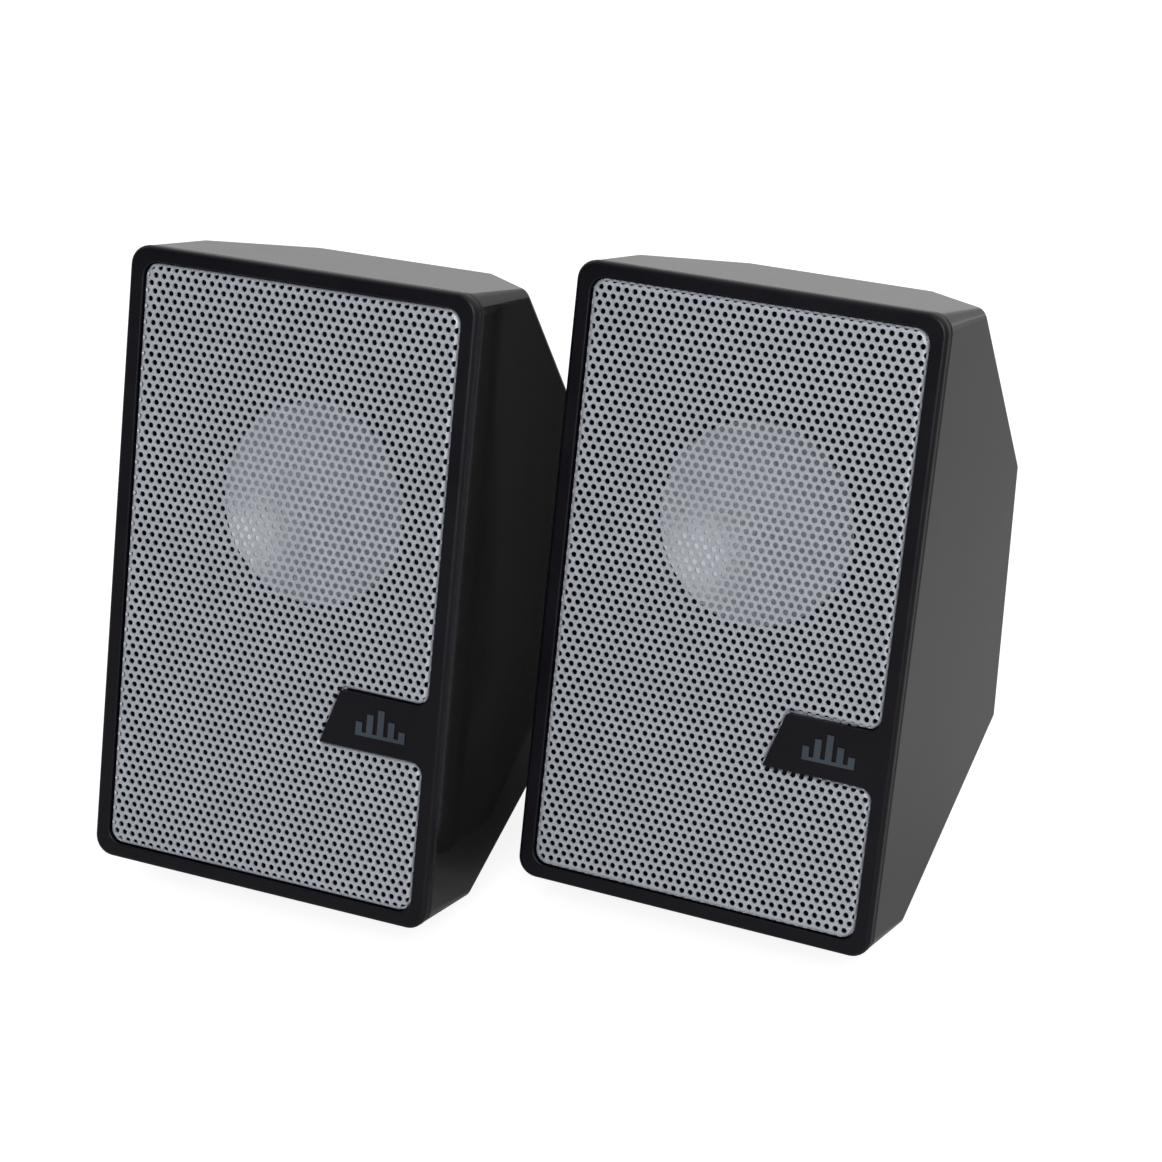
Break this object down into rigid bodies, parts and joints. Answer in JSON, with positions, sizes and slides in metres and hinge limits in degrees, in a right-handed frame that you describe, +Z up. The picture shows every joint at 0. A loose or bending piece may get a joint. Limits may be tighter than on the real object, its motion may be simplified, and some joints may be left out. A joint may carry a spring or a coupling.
{
  "type": "desktop speakers",
  "caption": "Pair of small powered desktop speakers with perforated metal grilles and faceted glossy rear shells, leaning back on hidden feet.",
  "frame": {"origin": "middle of the pair's bounding box, on the table", "axes": "+Z up, +X to the right along the pair, the fronts face -Y"},
  "size_m": [0.1758, 0.1438, 0.1455],
  "materials": {
    "front_frame": "fine matt texture",
    "rear_shell": "high gloss",
    "grille": "satin silver paint",
    "badge": "satin print",
    "basket": "satin",
    "surround": "matt",
    "cone": "satin",
    "voice_coil": "enamelled copper wire",
    "spider": "resin-treated cloth",
    "motor_steel": "zinc plated",
    "magnet": "ground ferrite",
    "terminal_strip": "laminate",
    "screw": "black zinc",
    "gland": "matt",
    "stand_foot": "fine matt texture",
    "pad": "matt",
    "board": "solder mask",
    "chip": "moulded epoxy",
    "heatsink": "extruded",
    "capacitor": "shrink sleeve",
    "potentiometer": "stamped",
    "volume_wheel": "knurled rim"
  },
  "bodies": {
    "right_speaker": {"amplifier_board": "board", "amplifier_chip": "chip", "amplifier_heatsink": "heatsink", "right_badge": "badge", "right_driver_basket": "basket", "right_driver_screw_1": "screw", "right_driver_screw_2": "screw", "right_driver_screw_3": "screw", "right_driver_screw_4": "screw", "right_front_frame": "front_frame", "right_front_pad": "pad", "right_grille": "grille", "right_housing_screw_1": "screw", "right_housing_screw_2": "screw", "right_housing_screw_3": "screw", "right_housing_screw_4": "screw", "right_link_gland": "gland", "right_magnet": "magnet", "right_rear_pad": "pad", "right_rear_shell": "rear_shell", "right_spider": "spider", "right_stand_foot": "stand_foot", "right_supply_gland": "gland", "right_surround": "surround", "right_terminal_strip": "terminal_strip", "right_top_plate": "motor_steel", "right_yoke": "motor_steel", "smoothing_capacitor": "capacitor", "volume_potentiometer": "potentiometer"},
    "left_speaker": {"left_badge": "badge", "left_driver_basket": "basket", "left_driver_screw_1": "screw", "left_driver_screw_2": "screw", "left_driver_screw_3": "screw", "left_driver_screw_4": "screw", "left_front_frame": "front_frame", "left_front_pad": "pad", "left_grille": "grille", "left_housing_screw_1": "screw", "left_housing_screw_2": "screw", "left_housing_screw_3": "screw", "left_housing_screw_4": "screw", "left_link_gland": "gland", "left_magnet": "magnet", "left_rear_pad": "pad", "left_rear_shell": "rear_shell", "left_spider": "spider", "left_stand_foot": "stand_foot", "left_surround": "surround", "left_terminal_strip": "terminal_strip", "left_top_plate": "motor_steel", "left_yoke": "motor_steel"},
    "right_diaphragm": {"right_cone": "cone", "right_voice_coil": "voice_coil"},
    "left_diaphragm": {"left_cone": "cone", "left_voice_coil": "voice_coil"},
    "volume_control": {"volume_wheel": "volume_wheel"}
  },
  "joints": [
    {"name": "left_speaker_place", "type": "slide", "parent": "right_speaker", "child": "left_speaker", "axis": [-1, 0, 0], "range_m": [0, 0.4]},
    {"name": "volume_turn", "type": "hinge", "parent": "right_speaker", "child": "volume_control", "pos_m": [0.02174, 0.05341, 0.05471], "axis": [0.0031, 0.2283, 0.9736], "range_deg": [0, 280]},
    {"name": "right_cone_travel", "type": "slide", "parent": "right_speaker", "child": "right_diaphragm", "axis": [-0.0131, -0.9735, 0.2284], "range_m": [-0.002, 0.002], "stiffness_N_per_m": 500, "deforming": ["right_surround", "right_spider"]},
    {"name": "left_cone_travel", "type": "slide", "parent": "left_speaker", "child": "left_diaphragm", "axis": [0.0131, -0.9735, 0.2284], "range_m": [-0.002, 0.002], "stiffness_N_per_m": 500, "deforming": ["left_surround", "left_spider"]}
  ]
}
